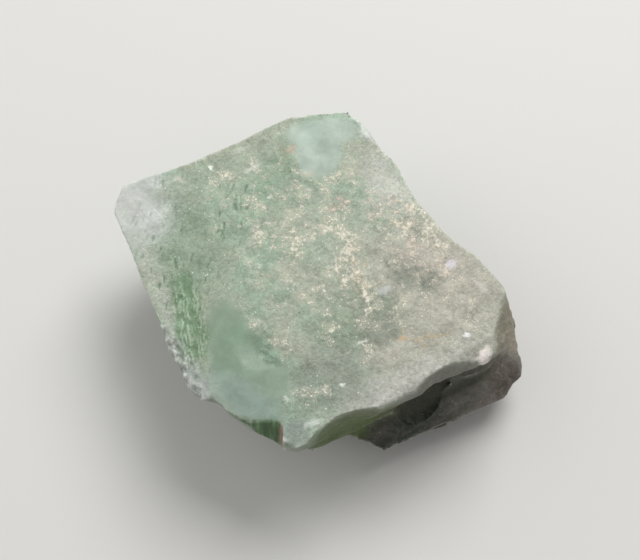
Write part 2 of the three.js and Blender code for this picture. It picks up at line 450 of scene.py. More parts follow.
CRUMB_BANDS = (
    (Patch("crumb field", (4.0, 3.0, 21.4), (18.0, 14.0, 6.0), -38, 0.5), 0.36),
    (Patch("left cluster", (-6.0, 5.3, 21.4), (4.2, 2.6, 4.0), -30, 0.5), 1.0),
    (Patch("band below the upper window", (-0.1, 13.9, 21.4), (5.6, 1.9, 4.0), -8, 0.5), 0.6),
    (Patch("middle column", (2.5, 3.5, 21.4), (8.6, 2.6, 4.0), -80, 0.5), 0.9),
    (Patch("right band", (13.0, 7.4, 21.4), (8.2, 3.4, 4.0), -48, 0.5), 1.0),
    (Patch("right strings", (15.6, 1.4, 21.4), (4.6, 2.0, 4.0), -35, 0.5), 0.8),
    (Patch("lower strings", (5.2, -2.2, 21.4), (4.6, 1.5, 4.0), -65, 0.5), 1.0),
    (Patch("window border", (-9.0, -8.0, 20.8), (4.2, 0.9, 4.0), -42, 0.6), 0.8),
    (Patch("ring on the left", (-7.9, -11.0, 20.8), (0.7, 1.7, 4.0), 0, 0.4), 1.0),
    (Patch("ring at its foot", (-6.3, -12.6, 20.8), (1.5, 0.6, 4.0), 8, 0.4), 1.0),
    (Patch("ring on the right", (-5.0, -10.9, 20.8), (0.6, 1.4, 4.0), 0, 0.4), 0.9),
    (Patch("above the knob", (-1.8, -17.8, 20.6), (3.4, 1.4, 4.0), 10, 0.5), 0.6),
    (Patch("left flecks", (-12.5, 9.5, 21.4), (6.0, 4.0, 4.0), 20, 0.6), 0.45),
    (Patch("back rim flecks", (-12.4, 15.4, 21.2), (6.0, 1.6, 4.0), 24, 0.5), 0.5),
    (Patch("sparse low right", (18.6, -5.5, 21.4), (4.2, 2.5, 4.0), -20, 0.5), 0.6),
    (Patch("sparse low middle", (3.8, -9.9, 21.4), (5.0, 2.0, 4.0), -35, 0.5), 0.5),
)
"""Where pale crumbs are strung over the face, and how thickly."""


def thickest(points: np.ndarray, shares: tuple[tuple[Patch, float], ...]) -> np.ndarray:
    """Returns the largest of the patches' weights at each point, each times its share."""
    return np.maximum.reduce([share * patch.weight(points) for patch, share in shares])


def windowed(points: np.ndarray) -> np.ndarray:
    """Returns how much each point belongs to the smooth windows."""
    return thickest(points, tuple((patch, 1.0) for patch in WINDOWS))


def on_face(points: np.ndarray, normals: np.ndarray, low: float, high: float) -> np.ndarray:
    """Returns how much each point belongs to the broad face, whose normals' height runs from low to high."""
    return smoothstep(low, high, normals[:, 2]) * smoothstep(*FACE_LEVELS, points[:, 2])


# ---------------------------------------------------------------- relief


@dataclass(frozen=True)
class Swell:
    """One size of lump of the uneven skin, in millimetres."""

    length: float
    height: float
    phase: float

    def lift(self, points: np.ndarray) -> np.ndarray:
        """Returns the lump's part of the skin's depth at each point.

        Args:
            points: positions in millimetres, one to a row.
        """
        k = 2 * math.pi / self.length
        x = k * points[:, 0] + self.phase
        y = k * points[:, 1] + 2 * self.phase
        z = k * points[:, 2] + 3 * self.phase
        broad = np.sin(x + 1.4 * np.sin(0.7 * y + 0.4 * z)) * np.cos(y + 1.4 * np.sin(0.6 * z - 0.5 * x))
        return self.height * (0.6 * broad + 0.4 * np.sin(z + 1.2 * np.sin(0.8 * x - 0.6 * y)))


@dataclass(frozen=True)
class Ledge:
    """A step of the cleavage that runs round the walls at one height."""

    height: float
    depth: float
    drift: float


@dataclass
class UnevenSkin:
    """The slow swell of every surface, the ledges round the walls and the wear that rims have lost."""

    swells: tuple[Swell, ...] = (Swell(24, 0.36, 0.4), Swell(13, 0.22, 2.2), Swell(7.5, 0.13, 4.1))
    ledges: tuple[Ledge, ...] = (Ledge(16.4, 0.7, 0.9), Ledge(11.6, -0.6, 2.1), Ledge(7.4, 0.6, 4.0))
    sharpness: float = 0.5
    wander_wide: float = 0.9
    wander_narrow: float = 0.5
    wear: float = 0.3

    def ledge_depth(self, points: np.ndarray) -> np.ndarray:
        """Returns how far the ledges set each point back, in millimetres.

        Args:
            points: positions in millimetres, one to a row.
        """
        turn = np.arctan2(points[:, 1], points[:, 0])
        depth = np.zeros(len(points))
        for ledge in self.ledges:
            level = ledge.height + self.wander_wide * np.sin(2 * turn + ledge.drift)
            level += self.wander_narrow * np.sin(5 * turn + 2 * ledge.drift)
            depth += ledge.depth / 2 * (1 + np.tanh((level - points[:, 2]) / self.sharpness))
        return depth

    def apply(self, stone: Thing) -> None:
        """Moves the stone's skin in and out by the swell and the ledges.

        Args:
            stone: the stone at bench scale.
        """
        points = read(stone, "co")
        normals = read(stone, "normal")
        on_wall = smoothstep(1.0, 4.0, -CLEAVAGE_FACE.distance(points))
        depth = sum(swell.lift(points) for swell in self.swells) * (0.5 + 0.5 * on_wall)
        depth = depth + self.ledge_depth(points) * on_wall
        on_foot = smoothstep(0.6, 0.1, points[:, 2]) * smoothstep(-0.8, -0.95, normals[:, 2])
        pressed = normals * depth[:, None]
        pressed[:, :2] += normals[:, :2] * self.wear
        write_points(stone, points - pressed * (1 - on_foot)[:, None])


class Pattern(Enum):
    """What a layer of relief is textured with."""

    CLOUDY = "CLOUDS"
    SCOOPED = "VORONOI"


@dataclass(frozen=True)
class ReliefLayer:
    """One layer of relief, pressed into the skin along its normals, in millimetres.

    The pattern's grain is `size` long in each direction and turned by `turn` about +Z. Its strength runs
    from `low` to `high` of the pattern, and `depth` is the full height between them.
    """

    name: str
    pattern: Pattern
    size: Triple
    depth: float
    where: str
    turn: float = 0.0
    low: float = 0.0
    high: float = 1.0
    middle: float = 0.5
    octaves: int = 2

    def texture(self) -> bpy.types.Texture:
        """Makes the layer's procedural texture."""
        texture = bpy.data.textures.new(self.name, self.pattern.value)
        texture.noise_scale = 1.0
        if self.pattern is Pattern.CLOUDY:
            texture.noise_depth = self.octaves
            texture.noise_basis = "IMPROVED_PERLIN"
        texture.use_color_ramp = True
        ramp = texture.color_ramp
        ramp.interpolation = "EASE"
        for element, place, tone in zip(ramp.elements, (self.low, self.high), (0, 1)):
            element.position = place
            element.color = (tone, tone, tone, 1)
        return texture

    def press(self, stone: Thing) -> None:
        """Presses the layer into the stone.

        Args:
            stone: the stone at bench scale, with the layer's mask as a vertex group.
        """
        bpy.ops.object.select_all(action="DESELECT")
        bpy.ops.object.empty_add(rotation=(0, 0, math.radians(self.turn)), scale=self.size)
        grain = bpy.context.object
        grain.scale = self.size
        bpy.context.view_layer.update()
        texture = self.texture()
        apply_modifier(
            stone, "DISPLACE", texture=texture, texture_coords="OBJECT", texture_coords_object=grain,
            strength=self.depth, mid_level=self.middle, vertex_group=self.where,
        )
        bpy.data.objects.remove(grain)
        bpy.data.textures.remove(texture)


@dataclass(frozen=True)
class Streak:
    """Streaks of noise, in millimetres and degrees, found only where a region's weight passes `least`."""

    turn: float
    width: float
    length: float
    bend: float
    bends_per_mm: float
    least: float
    seed: float
    bend_seed: float


@dataclass
class StoneRelief:
    """Everything that roughens the stone, from the chipped rims to the sugary grain."""

    skin: UnevenSkin = field(default_factory=UnevenSkin)
    layers: tuple[ReliefLayer, ...] = (
        ReliefLayer("broken walls", Pattern.CLOUDY, (3.6, 3.6, 2.8), 0.7, "walls", octaves=3),
        ReliefLayer("flake scars", Pattern.SCOOPED, (5.6, 5.6, 3.8), 0.6, "walls", high=0.9, middle=0.7),
        ReliefLayer("cleavage laminae", Pattern.CLOUDY, (8.0, 8.0, 1.0), 0.3, "laminae", 0, 0.35, 0.65),
        ReliefLayer("rolling face", Pattern.CLOUDY, (5.0, 5.0, 5.0), 0.36, "rough face"),
        ReliefLayer("face dimples", Pattern.SCOOPED, (2.6, 2.6, 2.6), 0.12, "rough face", middle=0.6),
        ReliefLayer("window wisps", Pattern.CLOUDY, (4.0, 7.0, 4.0), 0.06, "windows", turn=-25),
        ReliefLayer("shelf lobes", Pattern.CLOUDY, (3.6, 5.0, 4.0), 0.55, "shelf", turn=25),
        ReliefLayer("pits", Pattern.SCOOPED, (1.5, 1.3, 1.5), 0.26, "pitted", turn=20, high=0.8, middle=0.8),
        ReliefLayer("rim nibbles", Pattern.SCOOPED, (1.7, 1.7, 1.5), 0.22, "rims", high=0.85, middle=0.95),
        ReliefLayer("rim nicks", Pattern.CLOUDY, (1.1, 1.1, 1.1), -0.18, "rims", 0, 0.5, 0.75, 0.0),
        ReliefLayer("rim strip lumps", Pattern.SCOOPED, (1.2, 2.0, 1.3), 0.55, "rim strip", 32, 0, 0.9, 0.6),
        ReliefLayer("back tip lobes", Pattern.SCOOPED, (2.2, 2.6, 2.4), 0.7, "back tip", 20, 0, 0.9, 0.6),
        ReliefLayer("rim strip grain", Pattern.CLOUDY, (0.8, 1.4, 1.0), 0.3, "rim strip", 30, 0.25, 0.75),
        ReliefLayer("crumbs", Pattern.CLOUDY, (0.8, 1.0, 0.8), 0.16, "crumbs", 0, 0.52, 0.72, 0.0),
        ReliefLayer("coarse sugar", Pattern.CLOUDY, (0.8, 0.8, 0.8), 0.13, "grain"),
        ReliefLayer("fine sugar", Pattern.CLOUDY, (0.45, 0.45, 0.45), 0.05, "grain", octaves=1),
    )
    ridges: Streak = Streak(STRIATIONS.turn, 0.44, 2.6, 1.3, 0.4, least=0.02, seed=7, bend_seed=3)
    cracks: Streak = Streak(79, 0.42, 1.7, 0.8, 0.5, least=0.05, seed=11, bend_seed=5)
    ridge_height: float = 0.22
    crack_depth: float = 0.16
    chip_height: float = 0.55
    lobe_height: float = 0.4
    side_ease: float = 0.25
    top_ease: float = 0.12
    foot_reach: float = 0.06
    mask_steps: int = 32
    worn_passes: int = 60
    face_limit: int = 197_000

    def masks(self, stone: Thing) -> dict[str, np.ndarray]:
        """Works out where each kind of relief lies.

        Args:
            stone: the stone at bench scale.

        Returns:
            For each mask's name, a weight from 0 to 1 for every vertex.
        """
        points = read(stone, "co")
        normals = read(stone, "normal")
        off_foot = 1 - smoothstep(0.5, 0.15, points[:, 2])
        face = on_face(points, normals, 0.72, 0.92)
        shelf = smoothstep(0.25, 0.6, normals[:, 2]) * smoothstep(13.0, 10.0, points[:, 2])
        pitted = PITTED.weight(points)
        windows = windowed(points) * (1 - pitted)
        calm = np.maximum.reduce([windows, KNOB.weight(points), self.splintered(points, normals)])
        rims = smoothstep(0.05, 0.3, proudness(stone, 14))
        striations = STRIATIONS.weight(points) * (1 - windows)
        below_rim = 0.3 + 0.7 * smoothstep(0.5, 3.0, -CLEAVAGE_FACE.distance(points))
        below_rim = below_rim * (1 - 0.6 * OLIVE_END.weight(points))
        walls = (1 - face) * off_foot * below_rim * (1 - 0.7 * shelf)
        walls = walls * (1 - 0.7 * KNOB.weight(points)) * (1 - 0.5 * rims)
        front = FRONT_WALL.weight(points)
        return {
            "walls": walls * (1 - 0.4 * front),
            "laminae": walls * (1 - front),
            "rough face": face * (1 - calm) * (1 - 0.6 * striations),
            "windows": face * windows,
            "pitted": face * pitted,
            "shelf": shelf * off_foot,
            "worn": WORN_END.weight(points),
            "back tip": BACK_TIP.weight(points) * (1 - windows),
            "rims": rims * off_foot * (1 - 0.8 * KNOB.weight(points)),
            "rim strip": RIM_STRIP.weight(points) * (1 - windows),
            "crumbs": face * (1 - windows) * thickest(points, CRUMB_BANDS),
            "grain": off_foot * (1 - 0.85 * calm),
        }

    def splintered(self, points: np.ndarray, normals: np.ndarray) -> np.ndarray:
        """Returns how much each point lies on the floor that the missing splinter left.

        Args:
            points: positions in millimetres, one to a row.
            normals: the skin's normals there.
        """
        floor, crack = CrystalForm().splinter
        near_floor = smoothstep(0.9, 0.5, np.abs(floor.distance(points)))
        facing = smoothstep(0.82, 0.92, np.abs(normals @ np.array(floor.normal())))
        inside = smoothstep(0.15, -0.15, crack.distance(points)) * smoothstep(-12.6, -11.4, points[:, 0])
        return near_floor * facing * inside

    def streaks(self, points: np.ndarray, where: np.ndarray, streak: Streak) -> np.ndarray:
        """Returns noise drawn out along one direction, and 0 where `where` is next to none.

        Args:
            points: positions in millimetres, one to a row.
            where: how much each point belongs to the streaked region.
            streak: the streaks' shape.
        """
        values = np.zeros(len(points))
        a = math.radians(streak.turn)
        for i in np.flatnonzero(where > streak.least):
            x, y = points[i, 0], points[i, 1]
            along, across = x * math.cos(a) + y * math.sin(a), y * math.cos(a) - x * math.sin(a)
            bend = noise.noise(Vector((x * streak.bends_per_mm, y * streak.bends_per_mm, streak.bend_seed)))
            across = across / streak.width + streak.bend * bend
            values[i] = noise.noise(Vector((across, along / streak.length, streak.seed)))
        return values

    def striae(self, points: np.ndarray) -> np.ndarray:
        """Returns the wavy ridges of the striated strip: 1 on a ridge, 0 in a groove and off the strip."""
        strip = STRIATIONS.weight(points)
        return np.minimum(1.0, np.abs(self.streaks(points, strip, self.ridges)) * 3.2) * strip

    def dashes(self, points: np.ndarray) -> np.ndarray:
        """Returns the short dark cracks that stand in clusters on the left third: 1 in a crack, 0 elsewhere.

        Args:
            points: positions in millimetres, one to a row.
        """
        share = thickest(points, DASH_CLUSTERS) * (1 - windowed(points))
        depth = (self.streaks(points, share, self.cracks) - 0.36 + 0.14 * share) / 0.24
        return np.clip(depth, 0.0, 1.0) * np.minimum(1.0, 2.0 * share)

    def paint(self, stone: Thing, name: str, weights: np.ndarray) -> None:
        """Stores one mask as a vertex group, in even steps.

        Args:
            stone: the stone.
            name: the vertex group's name.
            weights: a weight from 0 to 1 for every vertex.
        """
        group = stone.vertex_groups.new(name=name)
        steps = np.rint(weights * self.mask_steps).astype(int)
        for step in range(1, self.mask_steps + 1):
            group.add(np.flatnonzero(steps == step).tolist(), step / self.mask_steps, "REPLACE")

    def features(self, stone: Thing) -> None:
        """Raises the pale chip, the back tip's lobe and the strip's ridges, and sinks the short cracks.

        Args:
            stone: the stone at bench scale.
        """
        points = read(stone, "co")
        normals = read(stone, "normal")
        lines = self.ridge_height * (self.striae(points) - 0.6 * STRIATIONS.weight(points))
        lines -= self.crack_depth * self.dashes(points)
        lift = self.chip_height * CHIP.weight(points) + self.lobe_height * BACK_LOBE.weight(points)
        lift += lines * smoothstep(0.7, 0.9, normals[:, 2])
        write_points(stone, points + normals * lift[:, None])

    def settle(self, stone: Thing, low: Vector, high: Vector) -> None:
        """Keeps the roughened stone inside its own box and on its flat foot.

        Args:
            stone: the stone at bench scale.
            low: the lowest corner it may reach, in millimetres.
            high: the highest corner.
        """
        points = read(stone, "co")
        for axis in range(2):
            points[:, axis] = held(points[:, axis], high[axis], self.side_ease)
            points[:, axis] = -held(-points[:, axis], -low[axis], self.side_ease)
        points[:, 2] = held(points[:, 2], high[2], self.top_ease)
        points[:, 2] = np.where(points[:, 2] < self.foot_reach, 0.0, points[:, 2])
        write_points(stone, points)

    def build(self, stone: Thing, low: Vector, high: Vector) -> None:
        """Roughens the stone, layer by layer, and thins what is flat.

        Args:
            stone: the worn stone at bench scale.
            low: the lowest corner it may reach, in millimetres.
            high: the highest corner.
        """
        self.skin.apply(stone)
        self.features(stone)
        for name, weights in self.masks(stone).items():
            self.paint(stone, name, weights)
        apply_modifier(stone, "SMOOTH", factor=0.5, iterations=self.worn_passes, vertex_group="worn")
        for layer in self.layers:
            layer.press(stone)
        self.settle(stone, low, high)
        stone.vertex_groups.clear()
        faces = sum(len(face.vertices) - 2 for face in stone.data.polygons)
        ratio = min(1.0, self.face_limit / faces)
        apply_modifier(stone, "DECIMATE", ratio=ratio, use_collapse_triangulate=True)
        self.settle(stone, low, high)


# ---------------------------------------------------------------- finishes


def colour(red: int, green: int, blue: int) -> Colour:
    """Turns a screen colour into the shader's linear one.

    Args:
        red: from 0 to 255.
        green: from 0 to 255.
        blue: from 0 to 255.

    Returns:
        The linear colour, opaque.
    """
    channels = [c / 255 for c in (red, green, blue)]
    linear = [c / 12.92 if c <= 0.04045 else ((c + 0.055) / 1.055) ** 2.4 for c in channels]
    return (*linear, 1.0)


@dataclass
class NodeBench:
    """A node tree under construction, with short calls for the nodes used most."""

    tree: bpy.types.NodeTree

    def add(self, kind: str, sockets: dict[int | str, object] | None = None, **settings: object) -> Node:
        """Adds a node.

        Args:
            kind: the node's type without its Shader prefix.
            sockets: what each input gets, an output to link or a value to set.
            **settings: the node's own settings.

        Returns:
            The new node.
        """
        node = self.tree.nodes.new(kind if kind.startswith("Node") else f"ShaderNode{kind}")
        for name, value in settings.items():
            setattr(node, name, value)
        for key, value in (sockets or {}).items():
            if isinstance(value, Socket):
                self.tree.links.new(value, node.inputs[key])
            else:
                node.inputs[key].default_value = value
        return node

    def maths(self, operation: str, *values: object, clamp: bool = False) -> Socket:
        """Adds a Math node and returns its result.

        Args:
            operation: the node's operation.
            *values: its inputs, outputs to link or numbers.
            clamp: whether the result is kept between 0 and 1.
        """
        node = self.add("Math", dict(enumerate(values)), operation=operation, use_clamp=clamp)
        return node.outputs[0]

    def vectors(self, operation: str, *values: object) -> Socket:
        """Adds a Vector Math node and returns its vector.

        Args:
            operation: the node's operation.
            *values: its inputs, outputs to link or vectors.
        """
        return self.add("VectorMath", dict(enumerate(values)), operation=operation).outputs[0]

    def times(self, *values: object) -> Socket:
        """Multiplies two or more values, from the first on, and returns the product."""
        return reduce(lambda product, value: self.maths("MULTIPLY", product, value), values)

    def shade(self, base: object, value: Socket) -> Socket:
        """Multiplies a colour by a value and returns the result."""
        grey = self.add("CombineColor", {0: value, 1: value, 2: value}).outputs[0]
        return self.blend(1.0, base, grey, "MULTIPLY")

    def ease(
        self, value: Socket, low: float, high: object, to_low: float = 0.0, to_high: object = 1.0
    ) -> Socket:
        """Eases a value smoothly from one range to another.

        Args:
            value: what is eased.
            low: where it starts.
            high: where it ends.
            to_low: the result at the start.
            to_high: the result at the end.

        Returns:
            The eased value.
        """
        node = self.add(
            "MapRange",
            {"Value": value, "From Min": low, "From Max": high, "To Min": to_low, "To Max": to_high},
            interpolation_type="SMOOTHSTEP",
        )
        return node.outputs[0]

    def blend(self, share: object, below: object, above: object, how: str = "MIX") -> Socket:
        """Lays one colour over another.

        Args:
            share: how much of the upper colour shows.
            below: the lower colour.
            above: the upper colour.
            how: the way they blend.

        Returns:
            The blended colour.
        """
        node = self.add("Mix", {0: share, 6: below, 7: above}, data_type="RGBA", blend_type=how)
        return node.outputs[2]

    def noise(
        self, where: object, size: float, detail: float = 2.0, roughness: float = 0.5, twist: float = 0.0
    ) -> Socket:
        """Adds noise with lumps about `size` millimetres wide and returns its value.

        Args:
            where: the position in millimetres.
            size: the lumps' width in millimetres.
            detail: how many finer layers it has.
            roughness: how strong the finer layers are.
            twist: how far it distorts itself.
        """
        sockets = {"Vector": where, "Scale": 1 / size, "Detail": detail, "Roughness": roughness}
        return self.add("TexNoise", {**sockets, "Distortion": twist}).outputs[0]

    def stretched(self, where: object, size: Triple, turn: float) -> Socket:
        """Turns and stretches a position, so that a pattern on it grows long.

        Args:
            where: the position in millimetres.
            size: how long the pattern's lumps become in each direction.
            turn: the pattern's turn about +Z in degrees.

        Returns:
            The position for the pattern.
        """
        node = self.add(
            "Mapping",
            {"Vector": where, "Rotation": (0, 0, math.radians(turn)), "Scale": size},
            vector_type="TEXTURE",
        )
        return node.outputs[0]


@dataclass(frozen=True)
class GroupSocket:
    """One named input or output of a node group."""

    name: str
    kind: str
    side: str = "INPUT"


class EffectGroup:
    """A shader node group that is built once and placed wherever its effect is wanted."""

    name: str = "effect"
    sockets: tuple[GroupSocket, ...] = ()

    def tree(self) -> bpy.types.NodeTree:
        """Returns the group's tree, built on first use."""
        if self.name in bpy.data.node_groups:
            return bpy.data.node_groups[self.name]
        tree = bpy.data.node_groups.new(self.name, "ShaderNodeTree")
        for socket in self.sockets:
            kind = f"NodeSocket{socket.kind}"
            tree.interface.new_socket(name=socket.name, in_out=socket.side, socket_type=kind)
        bench = NodeBench(tree)
        entry = bench.add("NodeGroupInput")
        self.wire(bench, entry, bench.add("NodeGroupOutput"))
        return tree

    def wire(self, bench: NodeBench, entry: Node, leave: Node) -> None:
        """Wires the group from its inputs to its outputs.

        Args:
            bench: the group's node bench.
            entry: the node with the group's inputs.
            leave: the node with its outputs.
        """
        raise NotImplementedError

    def place(self, bench: NodeBench, **values: object) -> Node:
        """Places the group in a material.

        Args:
            bench: the material's node bench.
            **values: what each input gets, with spaces in its name written as underscores.

        Returns:
            The group's node.
        """
        node = bench.tree.nodes.new("ShaderNodeGroup")
        node.node_tree = self.tree()
        for name, value in values.items():
            socket = node.inputs[name.replace("_", " ")]
            if isinstance(value, Socket):
                bench.tree.links.new(value, socket)
            else:
                socket.default_value = value
        return node


class PatchMask(EffectGroup):
    """Masks a soft-edged ellipsoid, as Patch.weight does."""

    name = "patch mask"
    sockets = (
        GroupSocket("Position", "Vector"),
        GroupSocket("Centre", "Vector"),
        GroupSocket("Half Size", "Vector"),
        GroupSocket("Turn", "Vector"),
        GroupSocket("Rim", "Float"),
        GroupSocket("Share", "Float"),
        GroupSocket("Mask", "Float", "OUTPUT"),
    )

    def wire(self, bench: NodeBench, entry: Node, leave: Node) -> None:
        """Wires position, to depth inside the ellipsoid, to mask."""
        local = bench.add(
            "Mapping",
            {
                "Vector": entry.outputs["Position"],
                "Location": entry.outputs["Centre"],
                "Rotation": entry.outputs["Turn"],
                "Scale": entry.outputs["Half Size"],
            },
            vector_type="TEXTURE",
        )
        depth = bench.add("TexGradient", {"Vector": local.outputs[0]}, gradient_type="SPHERICAL")
        mask = bench.ease(depth.outputs["Fac"], 0.0, entry.outputs["Rim"], 0.0, entry.outputs["Share"])
        bench.tree.links.new(mask, leave.inputs["Mask"])

    def over(self, bench: NodeBench, where: Socket, patch: Patch, share: float = 1.0) -> Socket:
        """Returns one patch's mask.

        Args:
            bench: the material's node bench.
            where: the position in millimetres.
            patch: the patch.
            share: the mask's value inside the patch.
        """
        outer = 1 + patch.soft
        node = self.place(
            bench,
            Position=where,
            Centre=patch.at,
            Half_Size=tuple(half * outer for half in patch.half),
            Turn=(0, 0, math.radians(patch.turn)),
            Rim=2 * patch.soft / outer,
            Share=share,
        )
        return node.outputs["Mask"]


class CrumbStrings(EffectGroup):
    """Masks strings and clusters of small crumbs, thicker where Amount is higher."""

    name = "crumb strings"
    sockets = (
        GroupSocket("Position", "Vector"),
        GroupSocket("Size", "Float"),
        GroupSocket("Amount", "Float"),
        GroupSocket("Mask", "Float", "OUTPUT"),
        GroupSocket("Haze", "Float", "OUTPUT"),
        GroupSocket("Tone", "Float", "OUTPUT"),
    )

    def wire(self, bench: NodeBench, entry: Node, leave: Node) -> None:
        """Wires fine crumbs, gathered by a coarser cloud, to mask, haze and tone."""
        where = bench.vectors("DIVIDE", entry.outputs["Position"], entry.outputs["Size"])
        crumbs = bench.noise(where, 1.0, 3.0, 0.68)
        cloud = bench.noise(where, 4.4, 3.0, 0.6, 0.5)
        gather = bench.ease(cloud, 0.36, 0.66, -0.09, 0.14)
        grit = bench.ease(bench.noise(where, 0.36, 2.0, 0.6), 0.25, 0.75, -0.09, 0.09)
        amount = entry.outputs["Amount"]
        reach = bench.maths("ADD", bench.maths("ADD", crumbs, gather), bench.times(amount, 0.2))
        mask = bench.ease(bench.maths("ADD", reach, grit), 0.68, 0.8)
        haze = bench.ease(bench.maths("ADD", gather, bench.times(amount, 0.12)), 0.0, 0.24)
        grains = bench.add("TexVoronoi", {"Vector": where, "Scale": 1.6}, feature="F1")
        tone = bench.add("SeparateColor", {0: grains.outputs["Color"]}).outputs[1]
        for name, value in (("Mask", mask), ("Haze", haze), ("Tone", tone)):
            bench.tree.links.new(value, leave.inputs[name])


class SugaryGrain(EffectGroup):
    """Close-packed small crystal grains: a tone and a height for each."""

    name = "sugary grain"
    sockets = (
        GroupSocket("Position", "Vector"),
        GroupSocket("Size", "Float"),
        GroupSocket("Tone", "Float", "OUTPUT"),
        GroupSocket("Height", "Float", "OUTPUT"),
        GroupSocket("Glint", "Float", "OUTPUT"),
    )

    def wire(self, bench: NodeBench, entry: Node, leave: Node) -> None:
        """Wires two sizes of grain and a fine noise to tone, height and glint."""
        where = bench.vectors("DIVIDE", entry.outputs["Position"], entry.outputs["Size"])
        bend = bench.add("TexNoise", {"Vector": where, "Scale": 0.8}).outputs[1]
        bent = bench.vectors("ADD", where, bench.vectors("SCALE", bend))
        grains = bench.add("TexVoronoi", {"Vector": bent, "Scale": 1.0}, feature="F1")
        coarse = bench.noise(where, 2.2, 3.0, 0.65)
        pick = bench.add("SeparateColor", {0: grains.outputs["Color"]})
        tone = bench.maths("ADD", bench.times(coarse, 0.65), bench.times(pick.outputs[0], 0.35))
        height = bench.maths("SUBTRACT", bench.times(pick.outputs[1], 0.5), grains.outputs["Distance"])
        few = bench.ease(pick.outputs[2], 0.965, 0.98)
        glint = bench.times(few, bench.ease(grains.outputs["Distance"], 0.42, 0.2))
        height = bench.maths("ADD", height, coarse)
        for name, value in (("Tone", tone), ("Height", height), ("Glint", glint)):
            bench.tree.links.new(value, leave.inputs[name])


@dataclass(frozen=True)
class Tint:
    """A colour laid over a patch of the stone, `share` saying how much of it shows."""

    patch: Patch
    colour: Colour
    share: float


def tinted(*rows: tuple) -> tuple[Tint, ...]:
    """Makes tints from rows of plain values.

    Args:
        *rows: a patch, or the values of a new one, then a screen colour and a share for each.

    Returns:
        The tints, in the order given.
    """
    tints = []
    for *place, screen, share in rows:
        patch = place[0] if isinstance(place[0], Patch) else Patch(*place)
        tints.append(Tint(patch, colour(*screen), share))
    return tuple(tints)


def blank_material(name: str) -> tuple[bpy.types.Material, NodeBench]:
    """Makes a material without nodes.

    Args:
        name: the material's name.

    Returns:
        The material and its node bench.
    """
    material = bpy.data.materials.new(name)
    material.use_nodes = True
    material.node_tree.nodes.clear()
    return material, NodeBench(material.node_tree)


@dataclass
class Guides:
    """What steers the stone's material: positions in millimetres, and masks from 0 to 1."""

    bench: NodeBench
    where: Socket
    bent: Socket
    near: Socket
    fine: Socket
    painted: dict[str, Socket]
    window: Socket
    rough: Socket
    strip: Socket


